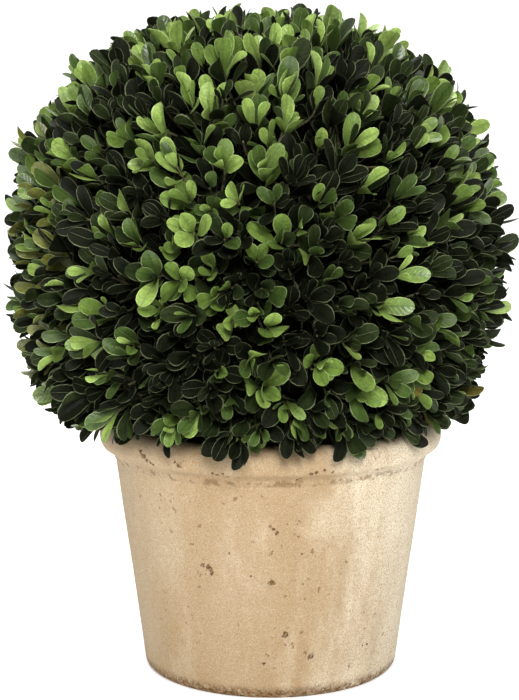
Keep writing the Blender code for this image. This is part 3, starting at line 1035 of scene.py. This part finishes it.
def leaf_turn(along, upper):
    """The turn that lays a leaf along one direction with its upper face towards another."""
    across = along.cross(upper).normalized()
    upper = across.cross(along).normalized()
    return Matrix((across, along, upper)).transposed().to_quaternion()


def shade_of(growth, way, tint, pair, inner):
    """The shade of one leaf, dealt out by its spray: fresher at the tips, olive on the left flank, and
    painted light besides: brighter on top, darker on the flanks and further down each shoot, and near-black
    painted shade for inner leaves.
    """
    draw = growth.chance.random()
    # Leaves of shaded shoots take the near-black deep green: painted shade for the crown's dark inside
    if inner:
        return "deep"
    if way.x < -0.78 and abs(way.z) < 0.5 and draw < 0.22:
        return "olive"
    if way.x > 0.6 and way.z < -0.2 and draw > 0.97:
        return "russet"
    # Painted light: a leaf on top of the crown gets a lighter green and one on the flanks or lower down a
    # darker one, as the lamps would light it; each older pair down the shoot is darker, partly by age and
    # partly as painted shade deeper in the crown
    light = 0.09 + (0.44 if way.z > 0.0 else 0.10) * way.z
    light += 0.03 * way.x**2 - 0.12 * abs(way.x) + tint * (1.36 - 0.80 * (way.x**2 + way.z**2))
    light += growth.chance.gauss(0.0, 0.32) - 0.25 * pair
    for shade, least in LIGHT_STEPS:
        if light > least:
            return shade
    return "dull"


def crossing(lines, faces):
    """Whether any line, from an array of end points, passes through any triangle of an array of corners."""
    start, run = lines[:, None, 0], lines[:, None, 1] - lines[:, None, 0]
    corner = faces[None, :, 0]
    side, other = faces[None, :, 1] - corner, faces[None, :, 2] - corner
    normal = np.cross(run, other)
    scale = (side * normal).sum(-1)
    scale = np.where(np.abs(scale) < 1e-16, np.inf, scale)
    gap = start - corner
    u = (gap * normal).sum(-1) / scale
    turned_gap = np.cross(gap, side)
    v = (run * turned_gap).sum(-1) / scale
    t = (other * turned_gap).sum(-1) / scale
    return bool(((u > 0.0) & (v > 0.0) & (u + v < 1.0) & (t > 0.0) & (t < 1.0)).any())


class Room:
    """The leaves placed so far, by cells, so that a new leaf that would cut through one can be refused."""

    def __init__(self, cell, shapes, most):
        self.cell = cell
        self.cells = {}
        self.total = 0
        ring = [*OUTLINE, *((-x, y) for x, y in reversed(OUTLINE))]
        self.forms = np.array(
            [[(0.5 * x, y, leaf_height(*shape[:2], x, y, 1.0 - abs(x))) for x, y in ring] for shape in shapes]
        )
        last = len(ring) - 1
        self.edges = np.array([(i, i + 1) for i in range(last)])
        halves = [(i, last - i, i + 1) for i in range(len(OUTLINE) - 1)]
        self.corners = np.array(halves + [(last - i, last - i - 1, i + 1) for i in range(len(OUTLINE) - 1)])
        self.lines = np.zeros((most, len(self.edges), 2, 3))
        self.faces = np.zeros((most, len(self.corners), 3, 3))
        self.low, self.high = np.zeros((most, 3)), np.zeros((most, 3))

    def take(self, root, facing, wide, long, kind):
        """Keeps a leaf and says so, unless it would cut through one that is there."""
        turn_rows = np.array(facing.to_matrix())
        points = (self.forms[kind] * (wide, long, long)) @ turn_rows.T + np.array(root)
        low, high = points.min(0), points.max(0)
        cell = tuple(np.floor((low + high) / (2.0 * self.cell)).astype(int))
        around = itertools.product(*((step - 1, step, step + 1) for step in cell))
        near = [index for other in around for index in self.cells.get(other, ())]
        lines, faces = points[self.edges], points[self.corners]
        if near:
            near = np.array(near)
            near = near[((self.low[near] < high) & (self.high[near] > low)).all(1)]
        if len(near):
            if crossing(lines, self.faces[near].reshape(-1, 3, 3)):
                return False
            if crossing(self.lines[near].reshape(-1, 2, 3), faces):
                return False
        self.lines[self.total], self.faces[self.total] = lines, faces
        self.low[self.total], self.high[self.total] = low, high
        self.cells.setdefault(cell, []).append(self.total)
        self.total += 1
        return True


class Spray:
    """What the leaves of one shoot share, drawn once."""

    def __init__(self, growth, pot, tip, axis, inner):
        plant, chance = growth.plant, growth.chance
        self.growth, self.pot, self.inner = growth, pot, inner
        self.tip, self.axis = tip, axis
        self.side = axis.orthogonal().normalized()
        self.other = axis.cross(self.side)
        self.way = (tip - growth.centre).normalized()
        self.spare = (chance.uniform(-1.0, 0.5) + (1.0 if chance.random() < 0.18 else 0.0)) * plant.roughness
        self.lowest = plant.lowest_tip + 0.012 * math.sqrt(chance.random())
        self.roll = chance.uniform(0.0, math.tau)
        self.vigour = chance.uniform(0.84, 1.12)
        self.tint = chance.gauss(-0.12, 0.44)

    def within(self, root, along, grown):
        """The share of full size to which a leaf can grow inside the clipped outline, by small steps."""
        growth = self.growth
        reach = self.spare + growth.chance.uniform(-0.5, 0.5) * growth.plant.roughness
        while grown > LEAST_SHARE:
            arm = root + along * grown * growth.plant.leaf_length - growth.centre
            if arm.length <= growth.outline(arm.normalized()) + reach:
                break
            grown -= 0.06
        return grown

    def leaf(self, pair, half, attempt):
        """One leaf of a pair as (root, turn, share of full size, kind), or None if it has no room to grow."""
        plant, chance = self.growth.plant, self.growth.chance
        back, spread, share = PAIRS[pair]
        loose = 0.25 + 0.12 * attempt
        angle = self.roll + math.pi * (0.5 * pair + half) + chance.uniform(-loose, loose)
        out = self.side * math.cos(angle) + self.other * math.sin(angle)
        spread = math.radians(max(4.0, spread + chance.uniform(-12.0, 14.0)))
        along = self.axis * math.cos(spread) + out * math.sin(spread)
        upper = self.axis * math.sin(spread) - out * math.cos(spread)
        root = self.tip - self.axis * back + out * 0.0004
        full = share * self.vigour * chance.uniform(0.86, 1.12) * (1.0 - 0.05 * attempt)
        grown = self.within(root, along, full)
        if grown <= LEAST_SHARE:
            return None
        across = along.cross(upper) * 0.45 * plant.leaf_width * grown
        blade = [root + along * grown * plant.leaf_length * t for t in (0.25, 0.5, 0.75, 1.0)]
        blade += [point + across for point in blade[1:3]] + [point - across for point in blade[1:3]]
        if not clear_of_pot(self.pot, plant, blade, self.lowest):
            return None
        facing = Quaternion(along, chance.gauss(0.0, 0.45)) @ leaf_turn(along, upper)
        return root, facing, grown, chance.randrange(len(LEAF_SHAPES))


def placed_leaf(spray, room, pair, half):
    """A leaf of a pair that cuts through no other one, or None when every try fails."""
    plant = spray.growth.plant
    for attempt in range(TRIES):
        leaf = spray.leaf(pair, half, attempt)
        if leaf:
            root, facing, grown, kind = leaf
            if room.take(root, facing, grown * plant.leaf_width, grown * plant.leaf_length, kind):
                return leaf
    return None


def leaf_points(growth, pot):
    """The leaves of every shoot, sorted by shade; the youngest pairs, at the tips, are placed first."""
    plant = growth.plant
    found = {shade: [] for shade in SHADES}
    room = Room(plant.leaf_length, LEAF_SHAPES, 2 * len(PAIRS) * len(growth.shoots + growth.skirt))
    first_inner = len(growth.shoots) - plant.inner_shoot_count
    # The inner shoots and all the skirt's shoots count as shaded: their leaves take the near-black deep
    # green, painted shade for the crown's dark inside
    for shoots, first_shaded in ((growth.shoots, first_inner), (growth.skirt, 0)):
        sprays = [Spray(growth, pot, *shoot, index >= first_shaded) for index, shoot in enumerate(shoots)]
        for pair, spray, half in itertools.product(range(len(PAIRS)), sprays, range(2)):
            shade = shade_of(growth, spray.way, spray.tint, pair, spray.inner)
            leaf = placed_leaf(spray, room, pair, half)
            if leaf:
                found[shade].append(leaf)
    return found


def points_of(name, leaves):
    """A mesh of one point for each leaf, with its turn, its share of full size and its kind."""
    roots, turns, shares, kinds = zip(*leaves)
    mesh = bpy.data.meshes.new(name)
    mesh.from_pydata(roots, [], [])
    flat_turns = [part for facing in turns for part in facing]
    carried = (("turn", "QUATERNION", flat_turns), ("share", "FLOAT", shares), ("kind", "INT", kinds))
    for label, kind, values in carried:
        mesh.attributes.new(label, kind, "POINT").data.foreach_set("value", values)
    return mesh


def leaf_kinds():
    """A collection of one leaf of each shape, out of sight."""
    kinds = bpy.data.collections.new("leaf_kinds")
    for index, shape in enumerate(LEAF_SHAPES):
        leaf = from_shape(f"leaf_kind_{index}", leaf_shape(*shape))
        bpy.context.scene.collection.objects.unlink(leaf)
        kinds.objects.link(leaf)
    return kinds


class BOXBALL_OT_leaves(bpy.types.Operator):
    """Grow the leaves in opposite pairs along every shoot"""

    bl_idname = "box_ball.leaves"
    bl_label = "Leaves"

    def execute(self, context):
        plant, pot = context.scene.box_ball_plant, context.scene.box_ball_pot
        kinds, tree = leaf_kinds(), leaf_tree()
        sizes = {"Leaf kinds": kinds, "Length": plant.leaf_length, "Width": plant.leaf_width}
        for shade, leaves in leaf_points(Growth(plant), pot).items():
            tone = getattr(plant, shade)
            gloss, specular, margin_pale_and_highlight = LEAF_GLOSS.get(shade, USUAL_GLOSS)
            # The margin's pale tone: partly the leaf's own edge and partly painted highlight
            pale = tuple(0.9 * t + margin_pale_and_highlight * m for t, m in zip(tone, plant.margin))
            finishes = {
                "Blade": leaf_finish(f"{shade} leaf", tone, gloss, specular),
                "Margin": leaf_finish(f"{shade} leaf margin", pale, 0.6, 0.1),
            }
            parts = math.ceil(len(leaves) * LEAF_TRIANGLES / MOST_TRIANGLES)
            for part in range(parts):
                name = f"leaves_{shade}" + (f"_{part + 1}" if parts > 1 else "")
                spray = mesh_object(name, points_of(name, leaves[part::parts]))
                add_tree(spray, tree, {**sizes, **finishes})
                given(baked(spray), "crown")
        for leaf in list(kinds.objects):
            bpy.data.objects.remove(leaf)
        bpy.data.collections.remove(kinds)
        return {"FINISHED"}


# ---------------------------------------------------------------- stage


# Soft square lights: place, height on the axis that they look at, width and power
LIGHTS = {
    "key_light": ((0.10, -1.75, 1.04), 0.20, 0.5, 42.0),
    "fill_light": ((-1.5, -1.4, 0.8), 0.15, 1.2, 5.0),
    "top_light": ((-0.15, 0.25, 1.9), 0.20, 1.0, 27.0),
    "back_light": ((-0.4, 1.5, 1.3), 0.20, 1.0, 11.0),
}
WHITE = (1.0, 1.0, 1.0)
# Strength of the light that the floor and the sky give off
FLOOR_GLOW, SKY_GLOW = 0.40, 0.13


def backdrop_shape(half, back, rise, top):
    """A floor that curves up into a wall behind the plant."""
    bend = [(back + rise * math.sin(a), rise - rise * math.cos(a)) for a in np.linspace(0.1, math.pi / 2, 14)]
    profile = [(-half, 0.0), (back, 0.0), *bend, (back + rise, top)]
    shape = bmesh.new()
    bridged(shape, [[shape.verts.new((x, y, z)) for x in (-half, half)] for y, z in profile], closed=False)
    return shape


def surround_shape(reach, rise, segments):
    """A wide disc under the floor with a low rim all round."""
    shape = bmesh.new()
    low = -0.002
    profile = ((reach + rise, rise), (reach + 0.5 * rise, 0.15 * rise), (reach, low), (reach * 0.3, low))
    rings = [ring_of(shape, radius, height, segments) for radius, height in profile]
    bridged(shape, rings)
    shape.faces.new(rings[-1])
    return shape


def area_light(name, place, look_height, width, power):
    """A square soft light that looks at a height on the plant's axis."""
    lamp = bpy.data.lights.new(name, "AREA")
    lamp.shape, lamp.size, lamp.energy = "SQUARE", width, power
    made = bpy.data.objects.new(name, lamp)
    made.location = place
    made.rotation_euler = (UP * look_height - Vector(place)).to_track_quat("-Z", "Y").to_euler()
    bpy.context.scene.collection.objects.link(made)


class BOXBALL_OT_stage(bpy.types.Operator):
    """Lay the pale floor, set the soft lights and place the camera"""

    bl_idname = "box_ball.stage"
    bl_label = "Stage"

    def execute(self, context):
        stage = context.scene.box_ball_stage
        finish, shader, _ = new_finish("studio floor", stage.ground, 0.9, 0.1)
        feed(shader.inputs["Emission Color"], WHITE)
        feed(shader.inputs["Emission Strength"], FLOOR_GLOW)
        from_shape("studio_floor", backdrop_shape(6.0, 1.6, 1.0, 5.0), finish)
        from_shape("studio_surround", surround_shape(12.0, 1.3, 96), finish)
        for name, settings in LIGHTS.items():
            area_light(name, *settings)
        world = bpy.data.worlds.new("studio")
        world.use_nodes = True
        sky = world.node_tree.nodes["Background"]
        feed(sky.inputs["Color"], WHITE)
        feed(sky.inputs["Strength"], SKY_GLOW)
        context.scene.world = world
        context.scene.view_settings.view_transform = "Standard"
        lens = bpy.data.cameras.new("camera")
        lens.sensor_fit = "VERTICAL"
        lens.sensor_height = 36.0
        lens.lens = stage.lens
        camera = bpy.data.objects.new("camera", lens)
        camera.location = (stage.camera_side, -stage.camera_distance, stage.camera_height)
        camera.rotation_euler = (math.pi / 2 - stage.camera_fall, 0.0, 0.0)
        context.scene.collection.objects.link(camera)
        context.scene.camera = camera
        return {"FINISHED"}


# ---------------------------------------------------------------- panel and registration


STEPS = (
    BOXBALL_OT_stage,
    BOXBALL_OT_pot,
    BOXBALL_OT_compost,
    BOXBALL_OT_stem,
    BOXBALL_OT_boughs,
    BOXBALL_OT_leaves,
)
SETTINGS = {
    "box_ball_pot": BoxBallPotSettings,
    "box_ball_plant": BoxBallPlantSettings,
    "box_ball_stage": BoxBallStageSettings,
}


class BOXBALL_PT_panel(bpy.types.Panel):
    """Box ball sizes, colours and steps"""

    bl_label = "Box Ball"
    bl_idname = "BOXBALL_PT_panel"
    bl_space_type = "VIEW_3D"
    bl_region_type = "UI"
    bl_category = "Box Ball"

    def draw(self, context):
        for step in STEPS:
            self.layout.operator(step.bl_idname)
        for group, kind in SETTINGS.items():
            box = self.layout.box()
            for name in kind.__annotations__:
                box.prop(getattr(context.scene, group), name)


def register():
    for made in (*SETTINGS.values(), *STEPS, BOXBALL_PT_panel):
        bpy.utils.register_class(made)
    for name, kind in SETTINGS.items():
        setattr(bpy.types.Scene, name, PointerProperty(type=kind))


def unregister():
    for name in SETTINGS:
        delattr(bpy.types.Scene, name)
    for made in reversed((*SETTINGS.values(), *STEPS, BOXBALL_PT_panel)):
        bpy.utils.unregister_class(made)


def main():
    register()
    bpy.ops.box_ball.stage()
    bpy.ops.box_ball.pot()
    bpy.ops.box_ball.compost()
    bpy.ops.box_ball.stem()
    bpy.ops.box_ball.boughs()
    bpy.ops.box_ball.leaves()


if __name__ == "__main__":
    main()
